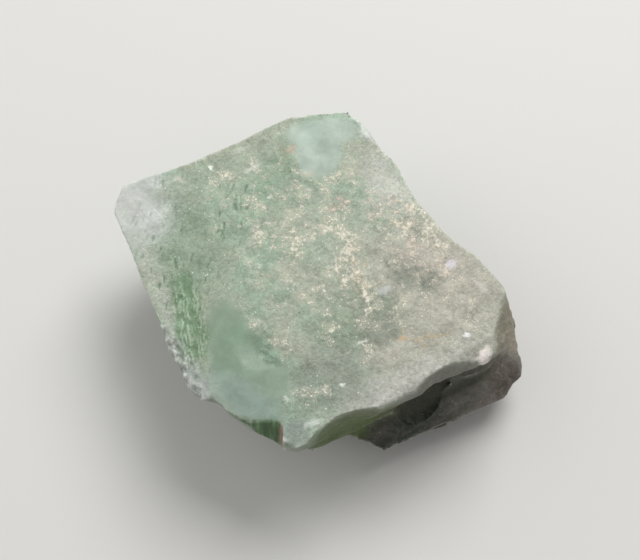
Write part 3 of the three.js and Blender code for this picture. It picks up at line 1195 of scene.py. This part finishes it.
@dataclass(frozen=True)
class StoneFinish:
    """The milky green stone: its body colours, its crumbs and its surface."""

    cool_body: Colour = colour(148, 168, 146)
    warm_body: Colour = colour(162, 167, 149)
    wall_body: Colour = colour(146, 158, 138)
    wall_veil: float = 0.55
    tints: tuple[Tint, ...] = tinted(
        ("right third", (17, -3, 19), (17, 13, 12), 30, 0.5, (172, 169, 156), 0.9),
        ("left green", (-19.5, 4.0, 20), (6.0, 8.5, 9), 8, 0.45, (136, 154, 132), 0.85),
        ("back green", (-6.0, 13.2, 21), (5.0, 5.5, 9), 0, 0.5, (132, 154, 130), 0.8),
        ("green between", (-13.0, 11.2, 21), (4.5, 3.4, 9), 0, 0.5, (151, 169, 147), 0.8),
        ("centre", (4.5, -6.5, 21), (6, 5, 9), 20, 0.5, (122, 139, 116), 0.8),
        ("middle green", (0.5, 4.0, 21), (6, 10, 9), 20, 0.5, (160, 168, 150), 0.7),
        ("pale left corner", (-27.2, 9.6, 17), (5.6, 7.2, 11), -20, 0.5, (194, 197, 193), 0.9),
        ("left edge", (-23.8, -1.5, 16), (11, 2.0, 9), -68, 0.5, (170, 175, 162), 0.8),
        ("left back rim", (-14.0, 16.5, 20), (12, 2.0, 6), 25, 0.5, (152, 164, 145), 0.75),
        ("haze by the right edge", (9.4, 13.4, 21), (2.8, 5.0, 4), 28, 0.5, (188, 189, 180), 0.8),
        (UPPER_WINDOW, (163, 178, 165), 0.92),
        (WINDOW_HEAD, (162, 178, 164), 0.92),
        (LOWER_WINDOW, (126, 147, 126), 0.95),
        (WINDOW_TOP, (128, 150, 128), 0.92),
        (WINDOW_FOOT, (136, 153, 142), 0.85),
        (STRIATIONS, (118, 144, 114), 0.85),
        (RIM_STRIP, (152, 156, 152), 0.85),
        ("grey patch", (12.6, -0.6, 21), (4.2, 2.2, 4), -30, 0.4, (126, 131, 117), 0.85),
        ("grey patch below", (6.4, -5.0, 21), (2.6, 2.6, 4), 0, 0.5, (138, 145, 128), 0.8),
        ("grey strip below", (8.4, -8.4, 21), (3.0, 2.2, 4), 10, 0.5, (132, 138, 124), 0.8),
        # painted highlight: a pale band along the lit front crest
        ("front rim band", (12.0, -15.6, 20.5), (12.5, 2.4, 5), 24, 0.5, (178, 177, 168), 0.8),
        ("low middle", (0.5, -15.5, 20.5), (6.0, 5.0, 5), 20, 0.5, (134, 143, 130), 0.8),
        (KNOB, (130, 140, 131), 0.85),
        (BACK_TIP, (166, 182, 168), 0.8),
        (BACK_LOBE, (214, 218, 214), 0.9),
        # painted highlight: a narrow paler band on the front crest itself
        ("worn crest", (14.5, -15.9, 20.2), (12.0, 1.0, 2.6), 23, 0.5, (190, 189, 183), 0.5),
    )
    sharp: tuple[Patch, ...] = (*WINDOWS, KNOB)
    wall_tints: tuple[Tint, ...] = tinted(
        # painted shade: the wall under the overhanging crest, behind the shelf, darkened for the shadow it
        # lies in
        ("dark wall behind the shelf", (17.5, -15.5, 11.0), (14.0, 5.5, 6.0), 24, 0.25, (74, 74, 60), 0.92),
        # painted shade: the band under the front crest, greyed and darkened
        ("grey under the crest", (16.0, -15.5, 17.0), (15.0, 4.0, 4.0), 24, 0.35, (128, 128, 118), 0.9),
        ("green front wall", (4.6, -21.6, 13.0), (7.5, 3.6, 9.0), 20, 0.42, (92, 108, 62), 0.92),
        # painted shade: the foot of the front wall, low in the recess under the crest
        ("dark foot of the wall", (9.2, -19.0, 6.0), (3.2, 2.6, 3.2), 0, 0.3, (66, 68, 56), 0.9),
        (OLIVE_END, (123, 116, 98), 0.9),
        ("right end wall", (28.6, -3.0, 11.0), (4.4, 13.0, 7.0), -8, 0.3, (112, 106, 98), 0.85),
        ("pale edge of the right end", (28.8, -7.0, 16.0), (1.6, 6.0, 5.0), -10, 0.4, (138, 133, 121), 0.8),
        ("left wall", (-24.0, -2.0, 12), (9, 14, 9), 0, 0.5, (150, 166, 148), 0.6),
        ("back wall", (-4.0, 22.0, 11), (16, 6, 9), 20, 0.5, (142, 160, 140), 0.6),
    )
    # The shelf's grey and mauve and its dark left lobe are the duller fractured stone, darkened further with
    # painted shade from the slab that overhangs the shelf.
    shelf_grey_and_shade: Colour = colour(102, 101, 92)
    shelf_mauve_and_shade: Colour = colour(112, 105, 99)
    shelf_vein: Colour = colour(140, 136, 124)
    shelf_tints: tuple[Tint, ...] = tinted(
        ("shelf left lobe", (11.0, -20.0, 5.0), (4.5, 3.5, 5.0), 20, 0.4, (60, 60, 54), 0.88),
        ("shelf rim", (16.0, -22.4, 3.0), (12.0, 1.6, 4.0), 24, 0.4, (132, 128, 120), 0.6),
        # painted shade with the stone's darker green: the valley under the crest between the shelf's lobes
        ("green valley", (14.2, -17.4, 7.4), (5.2, 3.0, 4.0), 52, 0.35, (54, 62, 48), 0.9),
        ("shelf right end", (27.0, -11.0, 5.0), (3.0, 4.0, 5.0), 0, 0.4, (84, 72, 64), 0.8),
        ("shelf behind the right end", (29.0, -3.0, 8.0), (3.6, 5.0, 6.0), 0, 0.3, (128, 122, 104), 0.85),
    )
    splinter_green: Colour = colour(64, 91, 54)
    splinter_pale: Colour = colour(110, 138, 99)
    crack: Patch = Patch("crack", (-5.75, -22.9, 18.6), (0.32, 2.0, 3.0), 2, 0.5)
    crack_rust: Colour = colour(150, 112, 92)
    crumb_tints: tuple[Tint, ...] = tinted(
        ("peach one", (7.1, 9.6, 21.4), (2.0, 2.6, 4), 70, 0.5, (226, 217, 202), 1.0),
        ("peach two", (11.5, 8.8, 21.4), (2.8, 1.8, 4), -50, 0.5, (226, 216, 198), 1.0),
        ("peach three", (12.6, 3.5, 21.4), (1.9, 1.2, 4), 15, 0.5, (224, 204, 184), 1.0),
        ("peach four", (5.6, 1.7, 21.4), (1.2, 2.4, 4), 0, 0.5, (222, 210, 190), 1.0),
        ("peach five", (5.0, -1.8, 21.4), (1.2, 1.4, 4), 0, 0.5, (220, 206, 184), 1.0),
        ("pink six", (2.5, 11.1, 21.4), (1.0, 2.0, 4), -20, 0.5, (208, 192, 178), 1.0),
        ("pink by the window", (-5.4, 19.0, 21.4), (1.6, 1.3, 4), 0, 0.5, (204, 184, 166), 1.0),
        ("rust", (10.8, -9.6, 21.4), (0.8, 0.8, 4), 0, 0.5, (214, 184, 138), 1.0),
        ("orange streak", (15.0, -9.7, 21.4), (3.0, 0.9, 4), 22, 0.5, (186, 160, 118), 1.0),
        ("warm right", (16.0, 0.5, 21.4), (6.0, 3.2, 4), -40, 0.5, (212, 203, 187), 1.0),
    )
    marks: tuple[Tint, ...] = tinted(
        (CHIP, (238, 228, 222), 0.9),
        ("white dot", (20.0, -9.2, 20.6), (0.5, 0.42, 3), 0, 0.4, (238, 238, 238), 0.9),
        ("pale knob rim", (-1.4, -21.6, 19.8), (1.2, 0.45, 3), 20, 0.5, (214, 218, 212), 0.55),
        ("white by the knob", (-5.1, -18.3, 20.6), (0.5, 0.28, 3), -30, 0.5, (214, 218, 212), 0.5),
        ("white dot by the back rim", (-16.4, 16.2, 21.0), (0.42, 0.36, 3), 0, 0.4, (236, 238, 228), 0.9),
        ("white flecks", (-10.4, 16.1, 21.0), (1.0, 0.42, 3), 30, 0.5, (222, 226, 214), 0.5),
        ("flecks at the rim", (-12.3, 19.0, 20.8), (1.0, 0.45, 3), 20, 0.5, (212, 214, 202), 0.4),
        ("pinkish fleck", (-20.9, 14.6, 20.8), (0.7, 0.5, 3), 0, 0.5, (212, 206, 192), 0.45),
        ("white fleck in the green", (-7.7, 11.7, 21.2), (0.5, 0.36, 3), 20, 0.5, (216, 222, 208), 0.7),
        ("white fleck by the cluster", (-9.0, 1.0, 21.2), (0.5, 0.34, 3), 40, 0.5, (216, 220, 208), 0.5),
        ("orange spot by the window", (-4.5, 19.0, 21.0), (0.8, 0.6, 3), 30, 0.5, (204, 180, 156), 0.45),
        ("peach below the window", (-1.9, 15.1, 21.2), (1.2, 0.5, 3), -10, 0.5, (202, 190, 170), 0.35),
        ("rust fleck", (11.2, -9.6, 21.0), (0.45, 0.34, 3), 20, 0.5, (198, 166, 118), 0.6),
        ("orange streak mark", (15.3, -9.5, 21.0), (2.2, 0.32, 3), 12, 0.5, (186, 164, 126), 0.5),
        ("violet-white spot", (18.3, 1.1, 21.0), (0.7, 0.6, 3), 30, 0.5, (222, 216, 224), 0.8),
        ("pale lilac cluster", (8.7, -2.7, 21.0), (1.1, 0.5, 3), 20, 0.6, (206, 208, 208), 0.5),
        ("white dashes", (5.5, -10.1, 21.0), (0.8, 0.22, 3), 20, 0.5, (214, 218, 212), 0.8),
        ("white dashes below", (2.8, -16.2, 21.0), (0.35, 0.35, 3), 0, 0.4, (224, 228, 218), 0.8),
        ("pale streak", (22.4, -2.3, 20.6), (1.2, 0.5, 3), -40, 0.5, (204, 202, 194), 0.6),
    )
    painted: tuple[str, ...] = (
        "edge", "groove", "face", "splinter", "shelf", "striae", "dashes", "crumbs", "smooth"
    )
    crumb: Colour = colour(222, 218, 200)
    white: Colour = colour(240, 240, 236)
    groove: Colour = colour(86, 120, 80)
    ridge: Colour = colour(176, 196, 172)
    grain_size: float = 0.3
    crumb_size: float = 0.46
    grain_height: float = 0.045
    crumb_height: float = 0.05
    matt: float = 0.55
    glassy: float = 0.4
    refraction: float = 1.5
    scatter: float = 0.45
    scatter_depth: float = 0.0011
    scatter_colour: Triple = (0.9, 1.0, 0.85)

    def wandering(self, bench: NodeBench, where: Socket, scale: float, *reaches: float) -> list[Socket]:
        """Bends a position by noise, so that the rims of what it places wander.

        Args:
            bench: the material's node bench.
            where: the position in millimetres.
            scale: how many of the noise's lumps there are to a millimetre.
            *reaches: how far each result wanders, in millimetres.

        Returns:
            A bent position for each reach.
        """
        cloud = bench.add("TexNoise", {"Vector": where, "Scale": scale, "Detail": 3.0, "Roughness": 0.6})
        drift = bench.vectors("SUBTRACT", cloud.outputs[1], (0.5, 0.5, 0.5))
        return [
            bench.vectors("ADD", where, bench.vectors("MULTIPLY", drift, (reach, reach, reach)))
            for reach in reaches
        ]

    def guides(self, bench: NodeBench) -> Guides:
        """Adds the positions and masks that the rest of the material is steered by.

        Args:
            bench: the material's node bench.

        Returns:
            The bench with the positions and masks.
        """
        place = bench.add("TexCoord").outputs["Object"]
        where = bench.add("VectorMath", {0: place, "Scale": 1 / MM}, operation="SCALE").outputs[0]
        bent, near = self.wandering(bench, where, 0.32, 4.5, 1.8)
        (fine,) = self.wandering(bench, where, 1.1, 1.7)
        painted = {
            name: bench.add("Attribute", attribute_name=name, attribute_type="GEOMETRY").outputs["Fac"]
            for name in self.painted
        }
        window: object = 0.0
        for patch in WINDOWS:
            window = bench.maths("MAXIMUM", window, PatchMask().over(bench, near, patch))
        window = bench.times(window, bench.maths("SUBTRACT", 1.0, PatchMask().over(bench, near, PITTED)))
        window = bench.maths("MAXIMUM", window, painted["splinter"])
        rough = bench.maths("SUBTRACT", 1.0, window)
        strip = PatchMask().over(bench, where, STRIATIONS)
        return Guides(bench, where, bent, near, fine, painted, window, rough, strip)

    def lay(
        self,
        bench: NodeBench,
        base: object,
        tints: tuple[Tint, ...],
        where: Socket,
        crisp: Socket | None = None,
    ) -> Socket:
        """Lays tints over a colour, one after another.

        Args:
            bench: the material's node bench.
            base: the colour below.
            tints: what is laid over it.
            where: the position that places them.
            crisp: the position that places those on sharp patches, where it is another.

        Returns:
            The colour with the tints.
        """
        for tint in tints:
            place = crisp if crisp is not None and tint.patch in self.sharp else where
            base = bench.blend(PatchMask().over(bench, place, tint.patch, tint.share), base, tint.colour)
        return base

    def regions(self, guides: Guides) -> Socket:
        """Colours the face, the walls, the shelf and the splinter's floor, with painted shade under the
        front crest, and mottles them all.

        Args:
            guides: the bench with its positions and masks.

        Returns:
            The stone's body colour.
        """
        bench, where, near, painted = guides.bench, guides.where, guides.near, guides.painted
        drift = bench.ease(bench.noise(where, 9.0, 3.0), 0.4, 0.6)
        body = bench.blend(drift, self.cool_body, self.warm_body)
        body = self.lay(bench, body, self.tints, guides.bent, near)
        wall = self.lay(bench, bench.blend(self.wall_veil, body, self.wall_body), self.wall_tints, near)
        drift = bench.ease(bench.noise(where, 3.2, 3.0), 0.4, 0.6)
        layer = bench.blend(drift, self.shelf_grey_and_shade, self.shelf_mauve_and_shade)
        layer = self.lay(bench, layer, self.shelf_tints, near)
        vein = bench.maths("ABSOLUTE", bench.maths("SUBTRACT", bench.noise(where, 3.4, 3.0, 0.6, 0.9), 0.5))
        layer = bench.blend(bench.ease(vein, 0.09, 0.0, 0.0, 0.22), layer, self.shelf_vein)
        wall = bench.blend(painted["shelf"], wall, layer)
        body = bench.blend(painted["face"], wall, body)
        rib = bench.noise(bench.stretched(where, (0.5, 3.0, 2.4), 0), 1.0, 2.0, 0.5, 0.6)
        floor = bench.blend(bench.ease(rib, 0.42, 0.8), self.splinter_green, self.splinter_pale)
        body = bench.blend(bench.times(painted["splinter"], 0.92), body, floor)
        crack = bench.times(PatchMask().over(bench, near, self.crack), 0.75)
        body = bench.blend(crack, body, self.crack_rust)
        return bench.shade(body, bench.ease(bench.noise(where, 2.4, 4.0, 0.65, 0.4), 0.3, 0.7, 0.9, 1.1))

    def lined(self, guides: Guides, body: Socket) -> Socket:
        """Darkens the cracks and grooves and lightens the strip's ridges.

        Args:
            guides: the bench with its positions and masks.
            body: the colour below.

        Returns:
            The colour with its lines.
        """
        bench, face, striae = guides.bench, guides.painted["face"], guides.painted["striae"]
        pale = bench.times(bench.ease(striae, 0.6, 1.0), guides.strip)
        dark = bench.times(bench.ease(striae, 0.55, 0.15), guides.strip)
        body = bench.blend(bench.times(face, 0.62, guides.painted["dashes"]), body, self.groove)
        body = bench.blend(bench.times(dark, 0.45), body, self.groove)
        body = bench.blend(bench.times(pale, 0.25), body, self.ridge)
        dip = bench.times(guides.rough, face, 0.5, guides.painted["groove"])
        return bench.blend(dip, body, self.groove)

    def crumbed(self, guides: Guides, body: Socket) -> tuple[Socket, Socket, Socket]:
        """Strings pale crumbs over the face.

        Args:
            guides: the bench with its positions and masks.
            body: the colour below.

        Returns:
            The colour with its crumbs, the crumbs' mask, and how much of them shows.
        """
        bench = guides.bench
        amount = bench.times(guides.painted["crumbs"], guides.painted["face"])
        crumb = self.lay(bench, self.crumb, self.crumb_tints, guides.bent)
        strings = CrumbStrings().place(bench, Position=guides.where, Size=self.crumb_size, Amount=amount)
        crumbs = strings.outputs
        showing = bench.times(guides.rough, bench.ease(amount, 0.0, 0.4, 0.2, 0.95))
        body = bench.blend(bench.times(showing, 0.3, crumbs["Haze"]), body, crumb)
        lit = bench.shade(crumb, bench.ease(crumbs["Tone"], 0.0, 1.0, 0.84, 1.12))
        seen = bench.times(crumbs["Mask"], showing)
        return bench.blend(seen, body, lit), crumbs["Mask"], seen

    def worn(self, guides: Guides, body: Socket, glint: Socket) -> Socket:
        """Adds glints, pale rubbed edges, and single flecks and stains.

        Args:
            guides: the bench with its positions and masks.
            body: the colour below.
            glint: where a grain catches the light.

        Returns:
            The finished colour.
        """
        bench, painted = guides.bench, guides.painted
        body = bench.blend(bench.times(guides.rough, painted["face"], 0.7, glint), body, self.white)
        uneven = bench.ease(bench.noise(guides.where, 1.2, 3.0, 0.6), 0.3, 0.6, 0.25, 0.9)
        rub = bench.times(painted["edge"], uneven)
        rub = bench.times(rub, bench.ease(painted["shelf"], 0.0, 1.0, 1.0, 0.3), 0.6)
        return self.lay(bench, bench.blend(rub, body, self.white), self.marks, guides.fine)

    def material(self) -> bpy.types.Material:
        """Builds the stone's material.

        Returns:
            The material, on Object coordinates and the values stored at the stone's vertices.
        """
        material, bench = blank_material("heulandite")
        guides = self.guides(bench)
        body = self.regions(guides)
        grain = SugaryGrain().place(bench, Position=guides.where, Size=self.grain_size).outputs
        tone = bench.ease(grain["Tone"], 0.25, 0.75, 0.84, 1.18)
        calm = bench.maths("MAXIMUM", guides.window, guides.painted["smooth"])
        calm = bench.ease(calm, 0.0, 1.0, 1.0, 0.12)
        tone = bench.maths("ADD", 1.0, bench.times(bench.maths("SUBTRACT", tone, 1.0), calm))
        body = self.lined(guides, bench.shade(body, tone))
        body, crumbs, strings = self.crumbed(guides, body)
        body = self.worn(guides, body, grain["Glint"])
        roughness = bench.ease(guides.window, 0.0, 1.0, self.matt, self.glassy)
        roughness = bench.maths("ADD", roughness, bench.times(strings, 0.15))
        uneven = bench.times(bench.maths("SUBTRACT", grain["Tone"], 0.5), 0.35)
        roughness = bench.maths("ADD", roughness, uneven, clamp=True)
        height = bench.times(grain["Height"], self.grain_height)
        height = bench.maths("ADD", height, bench.times(crumbs, self.crumb_height))
        bump = bench.add("Bump", {"Height": height, "Distance": MM, "Strength": calm})
        surface = bench.add(
            "BsdfPrincipled",
            {
                "Base Color": body,
                "Roughness": roughness,
                "Normal": bump.outputs[0],
                "IOR": self.refraction,
                "Subsurface Weight": self.scatter,
                "Subsurface Scale": self.scatter_depth,
                "Subsurface Radius": self.scatter_colour,
            },
        )
        bench.add("OutputMaterial", {"Surface": surface.outputs[0]})
        return material


@dataclass(frozen=True)
class FloorFinish:
    """Plain pale card."""

    tone: Colour = colour(214, 213, 210)

    def material(self) -> bpy.types.Material:
        """Builds the floor's material.

        Returns:
            A matt pale material.
        """
        material, bench = blank_material("pale card")
        surface = bench.add("BsdfPrincipled", {"Base Color": self.tone, "Roughness": 0.9})
        bench.add("OutputMaterial", {"Surface": surface.outputs[0]})
        return material


# ---------------------------------------------------------------- the specimen and its studio


@dataclass
class Specimen:
    """The whole stone: its form, its relief and its finish, standing for the one CAD node."""

    form: CrystalForm = field(default_factory=CrystalForm)
    relief: StoneRelief = field(default_factory=StoneRelief)
    finish: StoneFinish = field(default_factory=StoneFinish)

    def guides(self, stone: Thing) -> dict[str, np.ndarray]:
        """Works out the values at the stone's vertices that steer its material.

        Args:
            stone: the finished stone, still in millimetres.

        Returns:
            For each name, a number for every vertex.
        """
        points, normals = read(stone, "co"), read(stone, "normal")
        stand = proudness(stone, 9)
        past_walls = self.form.past_walls(points)
        return {
            "groove": smoothstep(-0.05, -0.2, stand),
            "edge": smoothstep(0.05, 0.22, stand) * (1 - 0.7 * BARE_RIM.weight(points)),
            "smooth": 0.7 * LEFT_CORNER.weight(points),
            "face": blurred(stone, on_face(points, normals, 0.7, 0.9), 2),
            "splinter": self.relief.splintered(points, normals),
            "striae": self.relief.striae(points),
            "dashes": self.relief.dashes(points),
            "crumbs": thickest(points, CRUMB_BANDS) * (1 - windowed(points)),
            "shelf": smoothstep(0.5, 1.1, past_walls) * smoothstep(13.5, 12.0, points[:, 2]),
        }

    def build(self) -> Thing:
        """Builds, shrinks and dresses the stone.

        Returns:
            The finished stone in metres.
        """
        low, high = (Vector(corner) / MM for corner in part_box(NODE))
        stone = self.form.build()
        LOG.info("form: %d vertices", len(stone.data.vertices))
        self.relief.build(stone, low, high)
        LOG.info("relief: %d faces", len(stone.data.polygons))
        for name, values in self.guides(stone).items():
            attribute = stone.data.attributes.new(name, "FLOAT", "POINT")
            attribute.data.foreach_set("value", values.astype(np.float32))
        select_only(stone)
        bpy.ops.transform.resize(value=(MM, MM, MM), center_override=(0, 0, 0))
        bpy.ops.object.transform_apply(location=True, rotation=True, scale=True)
        bpy.ops.object.shade_smooth()
        stone.data.materials.append(self.finish.material())
        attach(stone, "root")
        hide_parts(NODE)
        return stone


@dataclass
class Studio:
    """A plain pale floor, soft light from above and behind, and the camera."""

    floor_size: float = 6.0
    camera_at: Triple = (-0.00037, -0.05949, 0.20121)
    camera_tilt: float = 18.0
    lens: float = 75.0
    key_at: Triple = (0.16, 0.34, 0.5)
    key_size: float = 0.35
    key_power: float = 3.3
    fill_at: Triple = (-0.45, 0.1, 0.4)
    fill_size: float = 0.5
    fill_power: float = 0.8
    sky: float = 0.36

    def floor(self) -> Thing:
        """Lays the floor at the stone's foot."""
        bpy.ops.object.select_all(action="DESELECT")
        bpy.ops.mesh.primitive_plane_add(size=self.floor_size, location=(0, 0, 0))
        floor = bpy.context.object
        floor.name = "pale_floor"
        bpy.ops.object.mode_set(mode="EDIT")
        bpy.ops.mesh.subdivide(number_cuts=3)
        bpy.ops.object.mode_set(mode="OBJECT")
        floor.data.materials.append(FloorFinish().material())
        return floor

    def lamp(self, name: str, at: Triple, size: float, power: float) -> Thing:
        """Hangs a soft lamp that faces the stone.

        Args:
            name: the lamp's name.
            at: where it hangs, in metres.
            size: the side of its square, in metres.
            power: in watts.

        Returns:
            The lamp.
        """
        data = bpy.data.lights.new(name, "AREA")
        data.size = size
        data.energy = power
        lamp = bpy.data.objects.new(name, data)
        lamp.location = at
        lamp.rotation_euler = (-Vector(at)).to_track_quat("-Z", "Y").to_euler()
        bpy.context.collection.objects.link(lamp)
        return lamp

    def build(self) -> None:
        """Sets up floor, lamps, sky and camera."""
        self.floor()
        self.lamp("key", self.key_at, self.key_size, self.key_power)
        self.lamp("fill", self.fill_at, self.fill_size, self.fill_power)
        world = bpy.data.worlds.new("pale sky")
        world.use_nodes = True
        world.node_tree.nodes["Background"].inputs["Color"].default_value = (1.0, 1.0, 1.0, 1.0)
        world.node_tree.nodes["Background"].inputs["Strength"].default_value = self.sky
        bpy.context.scene.world = world
        data = bpy.data.cameras.new("camera")
        data.lens = self.lens
        data.clip_start = 0.01
        camera = bpy.data.objects.new("camera", data)
        camera.location = self.camera_at
        camera.rotation_euler = (math.radians(self.camera_tilt), 0, 0)
        bpy.context.collection.objects.link(camera)
        bpy.context.scene.camera = camera
        bpy.context.scene.view_settings.view_transform = "Standard"


def main() -> None:
    """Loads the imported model, then builds the specimen and its studio."""
    logging.basicConfig(level=logging.INFO, format="%(name)s: %(message)s")
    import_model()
    bpy.ops.object.select_all(action="DESELECT")
    stone = Specimen().build()
    LOG.info("%s: %d vertices, %d faces", stone.name, len(stone.data.vertices), len(stone.data.polygons))
    Studio().build()
    LOG.info("studio: floor, two lamps, sky and camera")


if __name__ == "__main__":
    main()
